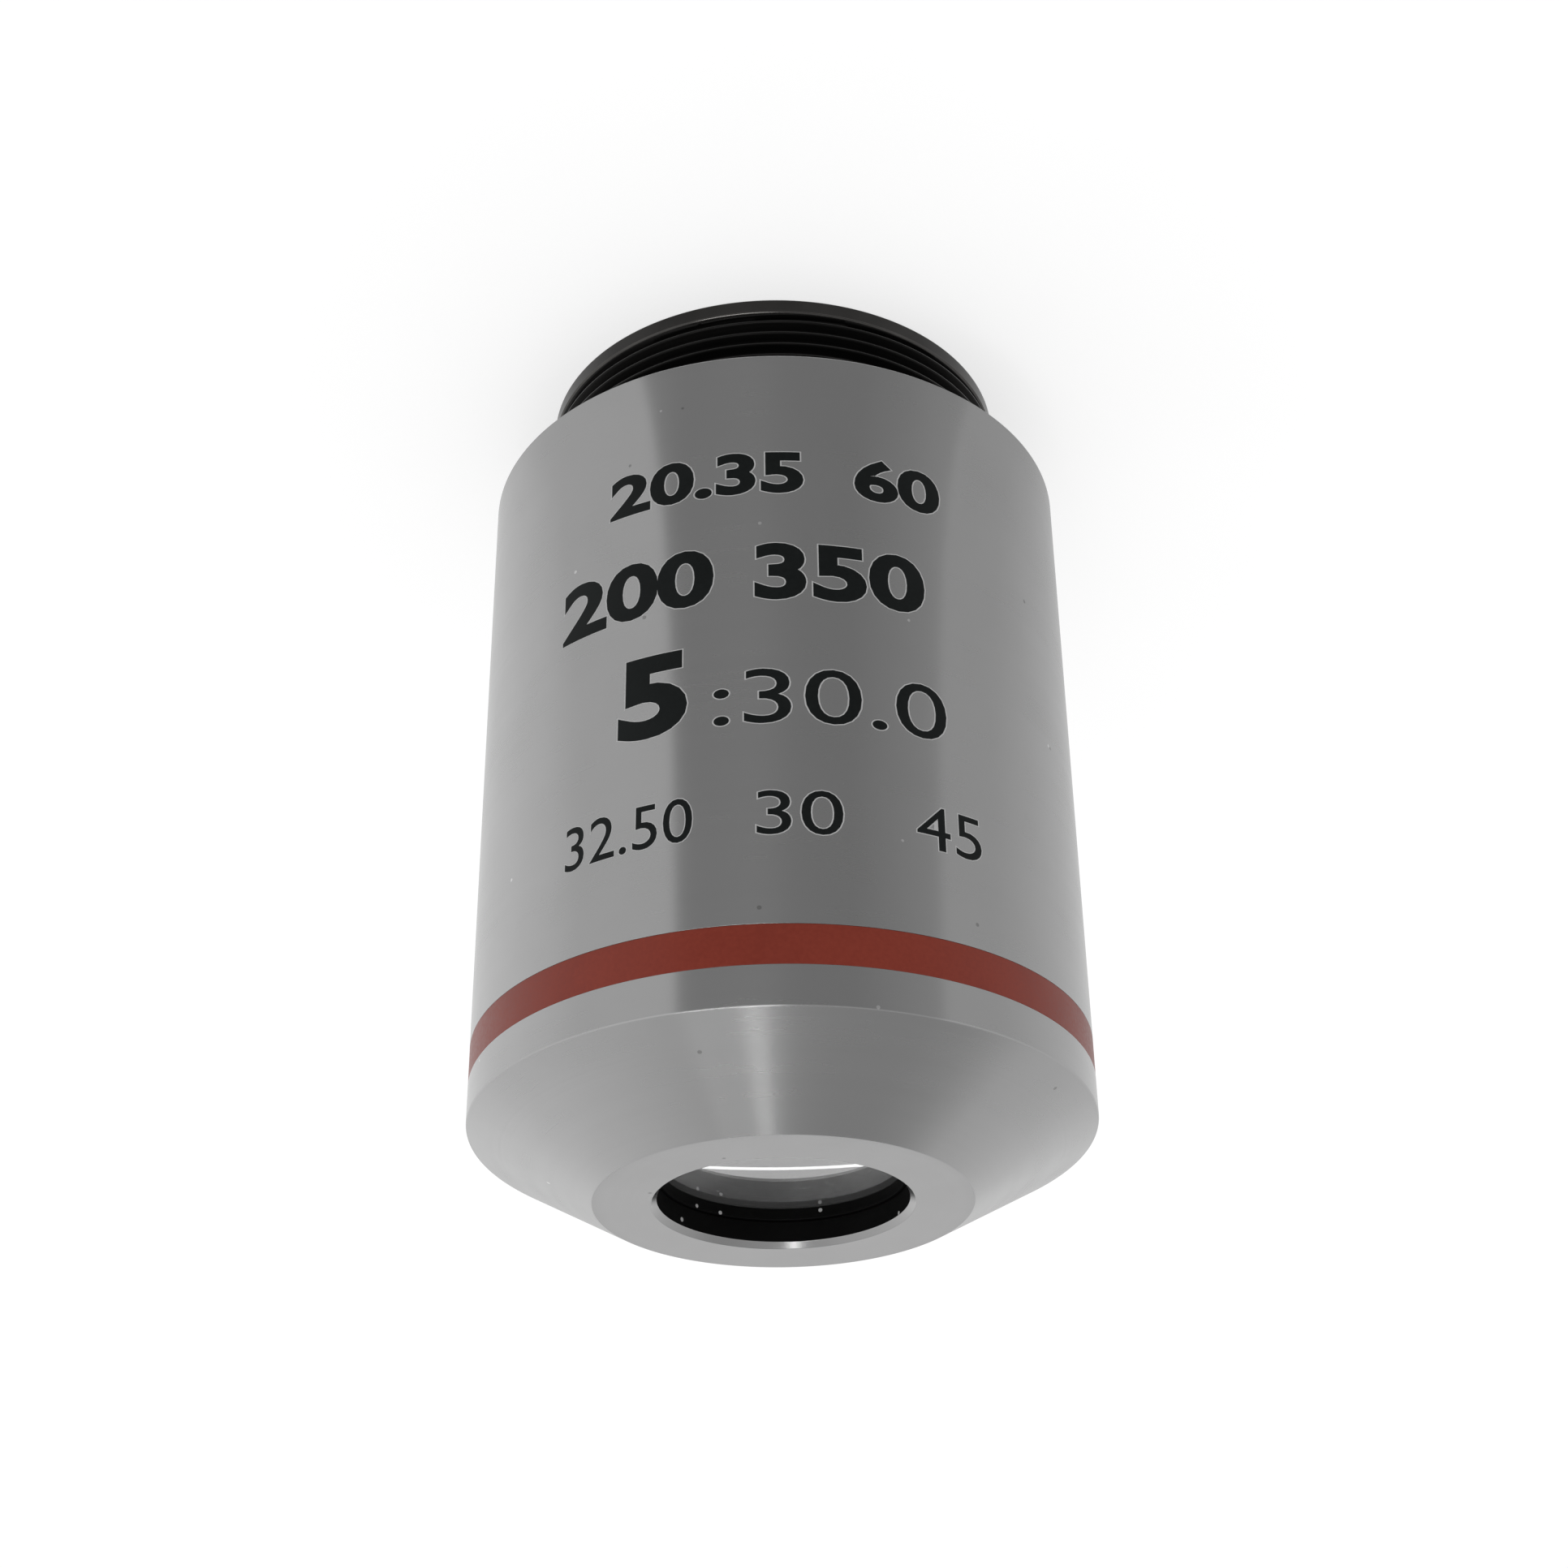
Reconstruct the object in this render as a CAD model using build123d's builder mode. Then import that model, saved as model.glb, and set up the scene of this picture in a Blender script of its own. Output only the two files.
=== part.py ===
from build123d import *
import os

# An infinity-corrected 4x microscope objective, taken as it stands on its thread with the nose up.
# Sizes are in millimetres. Z is the optical axis and runs from the thread to the nose.
# The origin is the centre of the mounting shoulder, the face that meets the nosepiece.

# Lengths along the barrel
barrel_length = 40.0  # shoulder to nose face: a 60 mm parfocal distance less a 20 mm working distance
cone_length = 3.6
band_from_cone = 2.0  # plain barrel between the enamel ring and the nose cone
band_width = 2.0
band_depth = 0.3
nose_land = 1.35  # length of the hole through the nose plate
nose_diameter = 18.6
mouth_diameter = 12.3
mouth_chamfer = 0.28
barrel_edge_break = 0.2

# Mounting thread and shoulder
thread_diameter = 25.0
thread_length = 6.1
thread_pilot = 0.95  # plain band at the free end of the thread
thread_pilot_step = 0.25
thread_chamfer = 0.25
relief_width = 1.0
relief_depth = 0.5
relief_undercut = 0.2  # how far the relief is cut into the shoulder, so that the nosepiece seats flat
flange_length = 3.5

# Walls, from the light path out to the barrel
thread_wall = 2.1  # metal between the rear bore and the thread's crest
tube_ledge = 2.0  # width of the ledge that carries the lens stack
tube_seat = 2.0  # height of that ledge over the shoulder
tube_wall = 1.1
flange_step = 0.5
sleeve_wall = 1.9

# Fits
slide_fit = 0.1  # tube in sleeve, and other parts that pass freely
cell_fit = 0.03  # lens cell in tube
lens_fit = 0.02  # glass in its bore
thread_fit = 0.04  # threaded rings, drawn without their thread
face_gap = 0.05  # faces that come close and don't clamp
break_edge = 0.15

# Lens cells: every cell has a seating lip, a bore for the glass, and a threaded retaining ring
lip = 0.6
seat_width = 0.6
ring_length = 0.9
ring_thread = 0.3  # how much wider the ring's thread is than the glass
ring_recess = 0.3
slot_width = 1.0
slot_depth = 0.45
shim_thickness = 0.3
stop_thickness = 0.4
stop_inset = 0.4

# Wall of each cell outside its glass
rear_cell_wall = 1.8
rear_doublet_wall = 2.2
flattener_wall = 4.4
middle_wall = 3.0
front_doublet_wall = 4.0
front_wall = 1.8

# Edge thickness of each element, from the rear of its group to the front
rear_edge = 1.4
rear_crown_edge = 1.2
rear_flint_edge = 2.0
flattener_meniscus_edge = 0.9
flattener_concave_edge = 2.1
middle_flint_edge = 2.0
middle_crown_edge = 1.0
front_flint_edge = 2.4
front_crown_edge = 0.8
front_edge = 1.5

# Height of each spherical face over its own rim: a hollow face is negative
rear_face_height = 0.7
rear_doublet_face_heights = (0.9, 1.55, 0.75)
flattener_face_heights = (-0.8, 0.8, -0.45)
middle_face_heights = (0.45, -1.4, 1.15)
front_doublet_face_heights = (-0.4, -1.05, 1.0)
front_face_heights = (0.9, 0.2)

# Front cell, which carries the front doublet and the front lens
front_lens_depth = 2.0  # nose face to the rim of the front lens
front_step = 0.15  # the cell's mouth is this much narrower than the hole in the nose plate
front_air = 2.4  # from the front lens's ring to the front doublet's seat
front_cell_flange = 2.4
lock_ring_length = 2.2
lock_ring_recess = 0.2
collar_stand = 0.4  # how far the cell's collar stands out of the tube
rear_air_share = 0.55  # part of the free length in the stack that lies behind the flattener

# Radii that follow, from the thread out to the barrel
thread_r = thread_diameter / 2
rear_bore_r = thread_r - thread_wall
tube_bore_r = rear_bore_r + tube_ledge
tube_r = tube_bore_r + tube_wall
flange_r = tube_r + flange_step
sleeve_bore_r = tube_r + slide_fit
barrel_r = sleeve_bore_r + sleeve_wall
cell_r = tube_bore_r - cell_fit
rear_r = cell_r - rear_cell_wall
rear_doublet_r = cell_r - rear_doublet_wall
flattener_r = cell_r - flattener_wall
middle_r = cell_r - middle_wall
front_doublet_r = cell_r - front_doublet_wall
front_collar_r = front_doublet_r + front_wall

# Radii that follow from the mouth
nose_r = nose_diameter / 2
mouth_r = mouth_diameter / 2
front_clear_r = mouth_r - front_step
front_r = front_clear_r + seat_width
front_nose_r = front_r + front_wall
pocket_r = front_nose_r + slide_fit

# Heights on the outside
cone_start = barrel_length - cone_length
band_high = cone_start - band_from_cone
band_low = band_high - band_width

# Heights of the stack: up from the ledge, then down from the nose, with two spacers in between
shim_z = tube_seat
rear_cell_z = shim_z + shim_thickness
rear_seat = rear_cell_z + lip
rear_front = rear_seat + rear_edge
stop_z = rear_front + ring_length + ring_recess
rear_doublet_z = stop_z + stop_thickness
rear_doublet_seat = rear_doublet_z + lip
rear_cement = rear_doublet_seat + rear_crown_edge
rear_doublet_front = rear_cement + rear_flint_edge
rear_spacer_z = rear_doublet_front + ring_length + ring_recess
front_cell_top = barrel_length - nose_land - face_gap
front_seat = barrel_length - front_lens_depth
front_rear = front_seat - front_edge
front_doublet_seat = front_rear - ring_length - front_air
front_cement = front_doublet_seat - front_crown_edge
front_doublet_rear = front_cement - front_flint_edge
front_cell_z = front_doublet_rear - ring_length - ring_recess
lock_ring_z = front_cell_z + front_cell_flange
tube_top = lock_ring_z + lock_ring_length + lock_ring_recess
collar_top = tube_top + collar_stand
pocket_z = collar_top + slide_fit
middle_seat = front_cell_z - lip
middle_cement = middle_seat - middle_crown_edge
middle_rear = middle_cement - middle_flint_edge
middle_cell_z = middle_rear - ring_length - ring_recess
flattener_length = lip + flattener_meniscus_edge + flattener_concave_edge + ring_length + ring_recess
free_length = middle_cell_z - rear_spacer_z - flattener_length
flattener_z = rear_spacer_z + rear_air_share * free_length
flattener_seat = flattener_z + lip
flattener_cement = flattener_seat + flattener_meniscus_edge
flattener_front = flattener_cement + flattener_concave_edge
middle_spacer_z = flattener_front + ring_length + ring_recess


def glass(edge_r, rear, front):
    """One lens element. Each face is given as rim height, radius of the curved part and face height."""
    rear_z, rear_clear, rear_out = rear
    front_z, front_clear, front_out = front
    with BuildSketch(Plane.XZ) as section:
        with BuildLine():
            Line((0, rear_z - rear_out), (0, front_z + front_out))
            TangentArc((0, front_z + front_out), (front_clear, front_z), tangent=(1, 0))
            if front_clear < edge_r:
                Line((front_clear, front_z), (edge_r, front_z))
            Line((edge_r, front_z), (edge_r, rear_z))
            if rear_clear < edge_r:
                Line((edge_r, rear_z), (rear_clear, rear_z))
            TangentArc((0, rear_z - rear_out), (rear_clear, rear_z), tangent=(1, 0))
        make_face()
    revolve(section.sketch, axis=Axis.Z)


def turned(*points):
    """A ring turned to this half section, given as (radius, height) corners."""
    with BuildSketch(Plane.XZ) as section:
        with BuildLine():
            Polyline(*points, close=True)
        make_face()
    revolve(section.sketch, axis=Axis.Z)


def ring(inner_r, outer_r, low, high):
    """A plain ring with its outer edges broken."""
    turned(
        (inner_r, low),
        (outer_r - break_edge, low),
        (outer_r, low + break_edge),
        (outer_r, high - break_edge),
        (outer_r - break_edge, high),
        (inner_r, high),
    )


def cell(glass_r, low, length, lip_below):
    """A lens cell: lip, glass bore and the wider bore for the ring's thread."""
    bore = glass_r + lens_fit
    clear = glass_r - seat_width
    thread_bore = glass_r + ring_thread + thread_fit
    high = low + length
    ring_bore = ring_length + ring_recess
    if lip_below:
        inner = (
            (thread_bore, high),
            (thread_bore, high - ring_bore),
            (bore, high - ring_bore),
            (bore, low + lip),
            (clear, low + lip),
            (clear, low),
        )
    else:
        inner = (
            (clear, high),
            (clear, high - lip),
            (bore, high - lip),
            (bore, low + ring_bore),
            (thread_bore, low + ring_bore),
            (thread_bore, low),
        )
    turned(
        (cell_r - break_edge, low),
        (cell_r, low + break_edge),
        (cell_r, high - break_edge),
        (cell_r - break_edge, high),
        *inner,
    )


def retaining_ring(glass_r, low, slots_up):
    """A threaded ring that holds a lens against its lip, with two slots for a spanner."""
    ring(glass_r - seat_width, glass_r + ring_thread, low, low + ring_length)
    slot_z = low + ring_length - slot_depth / 2 if slots_up else low + slot_depth / 2
    with Locations((0, 0, slot_z)):
        Box(3 * glass_r, slot_width, slot_depth, mode=Mode.SUBTRACT)


# Outer sleeve: barrel and nose cone in one turning, screwed over the mount body's flange
with BuildPart() as outer_sleeve:
    turned(
        (flange_r + thread_fit, face_gap),
        (barrel_r - barrel_edge_break, face_gap),
        (barrel_r, face_gap + barrel_edge_break),
        (barrel_r, band_low),
        (barrel_r - band_depth, band_low),
        (barrel_r - band_depth, band_high),
        (barrel_r, band_high),
        (barrel_r, cone_start),
        (nose_r, barrel_length),
        (mouth_r + mouth_chamfer, barrel_length),
        (mouth_r, barrel_length - mouth_chamfer),
        (mouth_r, barrel_length - nose_land),
        (pocket_r, barrel_length - nose_land),
        (pocket_r, pocket_z),
        (sleeve_bore_r, pocket_z),
        (sleeve_bore_r, flange_length),
        (flange_r + thread_fit, flange_length),
    )
outer_sleeve.part.label = "outer_sleeve"

# Enamel ring that fills the sleeve's groove and marks the magnification
with BuildPart() as colour_band:
    turned(
        (barrel_r - band_depth, band_low),
        (barrel_r, band_low),
        (barrel_r, band_high),
        (barrel_r - band_depth, band_high),
    )
colour_band.part.label = "colour_band"

# Mount body: thread, shoulder flange and the tube that the lens stack slides into
with BuildPart() as mount_body:
    turned(
        (rear_bore_r + thread_chamfer, -thread_length),
        (thread_r - thread_pilot_step - thread_chamfer, -thread_length),
        (thread_r - thread_pilot_step, thread_chamfer - thread_length),
        (thread_r - thread_pilot_step, thread_pilot - thread_length),
        (thread_r, thread_pilot + thread_pilot_step - thread_length),
        (thread_r, -relief_width - relief_depth),
        (thread_r - relief_depth, -relief_width),
        (thread_r - relief_depth, relief_undercut),
        (thread_r + face_gap, relief_undercut),
        (thread_r + face_gap, 0),
        (flange_r, 0),
        (flange_r, flange_length),
        (tube_r, flange_length),
        (tube_r, tube_top),
        (tube_bore_r, tube_top),
        (tube_bore_r, tube_seat),
        (rear_bore_r, tube_seat),
        (rear_bore_r, thread_chamfer - thread_length),
    )
mount_body.part.label = "mount_body"

# Thin shim on the ledge, chosen at assembly to set the parfocal distance
with BuildPart() as parfocal_shim:
    turned(
        (rear_bore_r + face_gap, shim_z),
        (cell_r, shim_z),
        (cell_r, rear_cell_z),
        (rear_bore_r + face_gap, rear_cell_z),
    )
parfocal_shim.part.label = "parfocal_shim"

# Rear lens, its cell and ring
with BuildPart() as rear_cell:
    cell(rear_r, rear_cell_z, stop_z - rear_cell_z, lip_below=True)
rear_cell.part.label = "rear_cell"

with BuildPart() as rear_lens:
    glass(
        rear_r,
        (rear_seat, rear_r - seat_width, rear_face_height),
        (rear_front, rear_r - seat_width, rear_face_height),
    )
rear_lens.part.label = "rear_lens"

with BuildPart() as rear_ring:
    retaining_ring(rear_r, rear_front, slots_up=True)
rear_ring.part.label = "rear_ring"

# Aperture stop, a thin disc clamped between the two rear cells
with BuildPart() as aperture_stop:
    turned(
        (rear_doublet_r - seat_width - stop_inset, stop_z),
        (cell_r, stop_z),
        (cell_r, rear_doublet_z),
        (rear_doublet_r - seat_width, rear_doublet_z),
    )
aperture_stop.part.label = "aperture_stop"

# Rear doublet, cemented
with BuildPart() as rear_doublet_cell:
    cell(rear_doublet_r, rear_doublet_z, rear_spacer_z - rear_doublet_z, lip_below=True)
rear_doublet_cell.part.label = "rear_doublet_cell"

with BuildPart() as rear_doublet_crown:
    glass(
        rear_doublet_r,
        (rear_doublet_seat, rear_doublet_r - seat_width, rear_doublet_face_heights[0]),
        (rear_cement, rear_doublet_r, rear_doublet_face_heights[1]),
    )
rear_doublet_crown.part.label = "rear_doublet_crown"

with BuildPart() as rear_doublet_flint:
    glass(
        rear_doublet_r,
        (rear_cement, rear_doublet_r, -rear_doublet_face_heights[1]),
        (rear_doublet_front, rear_doublet_r - seat_width, rear_doublet_face_heights[2]),
    )
rear_doublet_flint.part.label = "rear_doublet_flint"

with BuildPart() as rear_doublet_ring:
    retaining_ring(rear_doublet_r, rear_doublet_front, slots_up=True)
rear_doublet_ring.part.label = "rear_doublet_ring"

# Spacer behind the flattener
with BuildPart() as rear_spacer:
    ring(rear_doublet_r, cell_r, rear_spacer_z, flattener_z)
rear_spacer.part.label = "rear_spacer"

# Field flattener, a cemented pair hollow on both sides
with BuildPart() as flattener_cell:
    cell(flattener_r, flattener_z, flattener_length, lip_below=True)
flattener_cell.part.label = "flattener_cell"

with BuildPart() as flattener_meniscus:
    glass(
        flattener_r,
        (flattener_seat, flattener_r - seat_width, flattener_face_heights[0]),
        (flattener_cement, flattener_r, flattener_face_heights[1]),
    )
flattener_meniscus.part.label = "flattener_meniscus"

with BuildPart() as flattener_concave:
    glass(
        flattener_r,
        (flattener_cement, flattener_r, -flattener_face_heights[1]),
        (flattener_front, flattener_r - seat_width, flattener_face_heights[2]),
    )
flattener_concave.part.label = "flattener_concave"

with BuildPart() as flattener_ring:
    retaining_ring(flattener_r, flattener_front, slots_up=True)
flattener_ring.part.label = "flattener_ring"

# Spacer in front of the flattener
with BuildPart() as middle_spacer:
    ring(middle_r, cell_r, middle_spacer_z, middle_cell_z)
middle_spacer.part.label = "middle_spacer"

# Middle doublet, cemented, seated against a lip on its front side
with BuildPart() as middle_cell:
    cell(middle_r, middle_cell_z, front_cell_z - middle_cell_z, lip_below=False)
middle_cell.part.label = "middle_cell"

with BuildPart() as middle_doublet_flint:
    glass(
        middle_r,
        (middle_rear, middle_r - seat_width, middle_face_heights[0]),
        (middle_cement, middle_r, middle_face_heights[1]),
    )
middle_doublet_flint.part.label = "middle_doublet_flint"

with BuildPart() as middle_doublet_crown:
    glass(
        middle_r,
        (middle_cement, middle_r, -middle_face_heights[1]),
        (middle_seat, middle_r - seat_width, middle_face_heights[2]),
    )
middle_doublet_crown.part.label = "middle_doublet_crown"

with BuildPart() as middle_ring:
    retaining_ring(middle_r, middle_rear - ring_length, slots_up=False)
middle_ring.part.label = "middle_ring"

# Front cell: flange in the tube, collar inside the lock ring, nose behind the mouth
with BuildPart() as front_cell:
    turned(
        (cell_r - break_edge, front_cell_z),
        (cell_r, front_cell_z + break_edge),
        (cell_r, lock_ring_z - break_edge),
        (cell_r - break_edge, lock_ring_z),
        (front_collar_r, lock_ring_z),
        (front_collar_r, collar_top),
        (front_nose_r, collar_top),
        (front_nose_r, front_cell_top - break_edge),
        (front_nose_r - break_edge, front_cell_top),
        (front_clear_r, front_cell_top),
        (front_clear_r, front_seat),
        (front_r + lens_fit, front_seat),
        (front_r + lens_fit, front_rear),
        (front_r + ring_thread + thread_fit, front_rear),
        (front_r + ring_thread + thread_fit, front_doublet_seat + lip),
        (front_doublet_r - seat_width, front_doublet_seat + lip),
        (front_doublet_r - seat_width, front_doublet_seat),
        (front_doublet_r + lens_fit, front_doublet_seat),
        (front_doublet_r + lens_fit, front_doublet_rear),
        (front_doublet_r + ring_thread + thread_fit, front_doublet_rear),
        (front_doublet_r + ring_thread + thread_fit, front_cell_z),
    )
front_cell.part.label = "front_cell"

with BuildPart() as front_doublet_flint:
    glass(
        front_doublet_r,
        (front_doublet_rear, front_doublet_r - seat_width, front_doublet_face_heights[0]),
        (front_cement, front_doublet_r, front_doublet_face_heights[1]),
    )
front_doublet_flint.part.label = "front_doublet_flint"

with BuildPart() as front_doublet_crown:
    glass(
        front_doublet_r,
        (front_cement, front_doublet_r, -front_doublet_face_heights[1]),
        (front_doublet_seat, front_doublet_r - seat_width, front_doublet_face_heights[2]),
    )
front_doublet_crown.part.label = "front_doublet_crown"

with BuildPart() as front_doublet_ring:
    retaining_ring(front_doublet_r, front_doublet_rear - ring_length, slots_up=False)
front_doublet_ring.part.label = "front_doublet_ring"

with BuildPart() as front_lens:
    glass(
        front_r,
        (front_rear, front_r - seat_width, front_face_heights[0]),
        (front_seat, front_r - seat_width, front_face_heights[1]),
    )
front_lens.part.label = "front_lens"

with BuildPart() as front_lens_ring:
    retaining_ring(front_r, front_rear - ring_length, slots_up=False)
front_lens_ring.part.label = "front_lens_ring"

# Lock ring, screwed into the tube's mouth to clamp the whole stack
with BuildPart() as lock_ring:
    ring(front_collar_r + slide_fit, tube_bore_r - thread_fit, lock_ring_z, lock_ring_z + lock_ring_length)
    with Locations((0, 0, lock_ring_z + lock_ring_length - slot_depth / 2)):
        Box(3 * tube_bore_r, slot_width, slot_depth, mode=Mode.SUBTRACT)
lock_ring.part.label = "lock_ring"

pieces = (
    outer_sleeve,
    colour_band,
    mount_body,
    parfocal_shim,
    rear_cell,
    rear_lens,
    rear_ring,
    aperture_stop,
    rear_doublet_cell,
    rear_doublet_crown,
    rear_doublet_flint,
    rear_doublet_ring,
    rear_spacer,
    flattener_cell,
    flattener_meniscus,
    flattener_concave,
    flattener_ring,
    middle_spacer,
    middle_cell,
    middle_doublet_flint,
    middle_doublet_crown,
    middle_ring,
    front_cell,
    front_doublet_flint,
    front_doublet_crown,
    front_doublet_ring,
    front_lens,
    front_lens_ring,
    lock_ring,
)
os.makedirs("parts", exist_ok=True)
for piece in pieces:
    export_step(piece.part, f"parts/{piece.part.label}.step")
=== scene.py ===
from collections import namedtuple
import math

import bmesh
import bpy
import numpy as np
from mathutils import Matrix, Vector


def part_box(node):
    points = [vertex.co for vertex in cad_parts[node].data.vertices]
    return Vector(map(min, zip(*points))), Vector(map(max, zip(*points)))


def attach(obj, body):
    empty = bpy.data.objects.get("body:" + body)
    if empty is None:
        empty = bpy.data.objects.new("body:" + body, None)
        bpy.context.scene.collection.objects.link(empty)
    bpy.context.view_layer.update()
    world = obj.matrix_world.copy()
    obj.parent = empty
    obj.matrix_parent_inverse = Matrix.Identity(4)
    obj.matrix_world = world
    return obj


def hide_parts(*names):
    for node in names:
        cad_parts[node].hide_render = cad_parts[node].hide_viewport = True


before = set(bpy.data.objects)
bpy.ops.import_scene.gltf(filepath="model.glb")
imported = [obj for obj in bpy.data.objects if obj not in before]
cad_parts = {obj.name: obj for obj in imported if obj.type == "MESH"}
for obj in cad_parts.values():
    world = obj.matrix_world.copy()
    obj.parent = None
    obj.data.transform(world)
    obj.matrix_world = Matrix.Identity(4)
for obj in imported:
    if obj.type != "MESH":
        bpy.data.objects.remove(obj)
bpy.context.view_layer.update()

MM = 0.001


def edge(node, axis, end):
    """One side of a node's box in millimetres: end is 0 for the low side and 1 for the high one."""
    return round(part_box(node)[end][axis] / MM, 2)


# Sizes in millimetres that come from the frame
BARREL_R = edge("outer_sleeve", 0, 1)
SLEEVE_LOW = edge("outer_sleeve", 2, 0)
NOSE_Z = edge("outer_sleeve", 2, 1)
BAND_LOW = edge("colour_band", 2, 0)
BAND_HIGH = edge("colour_band", 2, 1)
THREAD_END = edge("mount_body", 2, 0)
TUBE_END = edge("mount_body", 2, 1)
CELL_R = edge("front_cell", 0, 1)
CELL_LOW = edge("front_cell", 2, 0)
CELL_HIGH = edge("front_cell", 2, 1)
LENS_R = edge("front_lens", 0, 1)

# Sizes in millimetres of what a node's box doesn't show
SKIN_R = BARREL_R - 0.006
CONE_Z = NOSE_Z - 3.6
NOSE_R = 9.3
MOUTH_R = 6.15
MOUTH_CHAMFER = 0.28
POCKET_R = 8.5
SLEEVE_BORE_R = 13.6
SLEEVE_MOUTH_R = 14.04
EDGE_BREAK = 0.2
GROOVE_DEPTH = 0.3
FLANGE_R = 14.0
FLANGE_HEIGHT = 3.5
THREAD_R = 12.5
PITCH = 0.75
THREAD_DEPTH = 0.46
THREAD_LOW = THREAD_END + 0.95
THREAD_HIGH = -1.0
RELIEF_R = 12.0
BAND_BREAK = 0.09
REAR_BORE_R = 10.4
LENS_CLEAR_R = 6.0
LENS_REAR_RISE = 0.9
LENS_FRONT_RISE = 0.2
LENS_REAR = edge("front_lens", 2, 0) + LENS_REAR_RISE
LENS_FRONT = edge("front_lens", 2, 1) - LENS_FRONT_RISE

# Shares of the pitch that half a crest and a flank of the thread take
HALF_CREST = 1 / 16
FLANK = 5 / 16


# Turned meshes

def section(corners, steps=4):
    """Rows (radius, height, normal) of a turned section.

    Its corners (radius, height, rounding) run counter-clockwise.
    """
    rows = []
    count = len(corners)
    for i, (r, z, rounding) in enumerate(corners):
        p = np.array((r, z), float)
        before = np.array(corners[i - 1][:2], float)
        after = np.array(corners[(i + 1) % count][:2], float)
        d_in = (p - before) / np.linalg.norm(p - before)
        d_out = (after - p) / np.linalg.norm(after - p)
        n_in = np.array((d_in[1], -d_in[0]))
        turn = math.atan2(d_in[0] * d_out[1] - d_in[1] * d_out[0], float(d_in @ d_out))
        side = 1.0 if turn > 0 else -1.0
        centre = p - d_in * rounding * math.tan(abs(turn) / 2) - side * n_in * rounding
        for k in range(steps + 1):
            c = math.cos(turn * k / steps)
            s = math.sin(turn * k / steps)
            n = np.array((n_in[0] * c - n_in[1] * s, n_in[0] * s + n_in[1] * c))
            q = centre + side * n * rounding
            rows.append((q[0], q[1], n[0], n[1]))
    return rows


def link(obj):
    bpy.context.scene.collection.objects.link(obj)
    return obj


def shade_smooth(mesh):
    mesh.polygons.foreach_set("use_smooth", [True] * len(mesh.polygons))


def mesh_object(name, verts, faces, normals=None, materials=()):
    mesh = bpy.data.meshes.new(name)
    mesh.from_pydata([tuple(v) for v in verts], [], faces)
    mesh.update()
    shade_smooth(mesh)
    if normals is not None:
        mesh.normals_split_custom_set_from_vertices([tuple(n) for n in normals])
    for material in materials:
        mesh.materials.append(material)
    return link(bpy.data.objects.new(name, mesh))


def revolve_rows(rows, segments, closed=True):
    """Vertices, faces and normals of section rows turned round Z."""
    angles = np.arange(segments) * 2 * math.pi / segments
    c, s = np.cos(angles), np.sin(angles)
    verts, normals, faces = [], [], []
    for r, z, nr, nz in rows:
        verts.append(np.stack([r * c, r * s, np.full(segments, z)], 1) * MM)
        normals.append(np.stack([nr * c, nr * s, np.full(segments, nz)], 1))
    count = len(rows)
    for i in range(count if closed else count - 1):
        a = i * segments
        b = (i + 1) % count * segments
        for k in range(segments):
            m = (k + 1) % segments
            faces.append((a + k, a + m, b + m, b + k))
    return np.concatenate(verts), faces, np.concatenate(normals)


def turned(name, corners, materials, segments=256, steps=4):
    verts, faces, normals = revolve_rows(section(corners, steps), segments)
    return mesh_object(name, verts, faces, normals, materials)


def use_material(obj, index, chosen):
    """Give one of an object's materials to the faces whose middle (radius, height) in mm is chosen."""
    for face in obj.data.polygons:
        x, y, z = face.center / MM
        if chosen(math.hypot(x, y), z):
            face.material_index = index


def stand_for(obj, node):
    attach(obj, "root")
    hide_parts(node)


# Material helpers

def new_material(name):
    material = bpy.data.materials.new(name)
    material.use_nodes = True
    tree = material.node_tree
    tree.nodes.clear()
    out = tree.nodes.new("ShaderNodeOutputMaterial")
    shader = tree.nodes.new("ShaderNodeBsdfPrincipled")
    tree.links.new(shader.outputs[0], out.inputs[0])
    return material, tree, shader


def set_values(shader, **values):
    """Set constants on the shader's own sockets, with an underscore for each space in their names."""
    for name, value in values.items():
        shader.inputs[name.replace("_", " ")].default_value = value


def add(tree, kind, inputs=None, **settings):
    """Add a node. Each of its inputs is a constant, or another node's socket that is linked to it."""
    node = tree.nodes.new(kind)
    for key, value in settings.items():
        setattr(node, key, value)
    for key, value in (inputs or {}).items():
        if isinstance(value, bpy.types.NodeSocket):
            tree.links.new(value, node.inputs[key])
        else:
            node.inputs[key].default_value = value
    return node


def maths(tree, operation, a, b=0.0):
    return add(tree, "ShaderNodeMath", {0: a, 1: b}, operation=operation).outputs[0]


def remap(tree, value, a, b, c=0.0, d=1.0):
    """Straight-line change of a value: a becomes c and b becomes d, clamped beyond them."""
    inputs = {"Value": value, "From Min": a, "From Max": b, "To Min": c, "To Max": d}
    return add(tree, "ShaderNodeMapRange", inputs).outputs[0]


def mix(tree, factor, a, b):
    return add(tree, "ShaderNodeMix", {0: factor, 6: a, 7: b}, data_type="RGBA").outputs[2]


def noise(tree, where, scale, detail):
    inputs = {"Vector": where, "Scale": scale, "Detail": detail}
    return add(tree, "ShaderNodeTexNoise", inputs).outputs[0]


def position_in(tree):
    """Position on the object in metres."""
    return add(tree, "ShaderNodeTexCoord").outputs["Object"]


def parts_of(tree, vector):
    return add(tree, "ShaderNodeSeparateXYZ", {0: vector}).outputs


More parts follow.
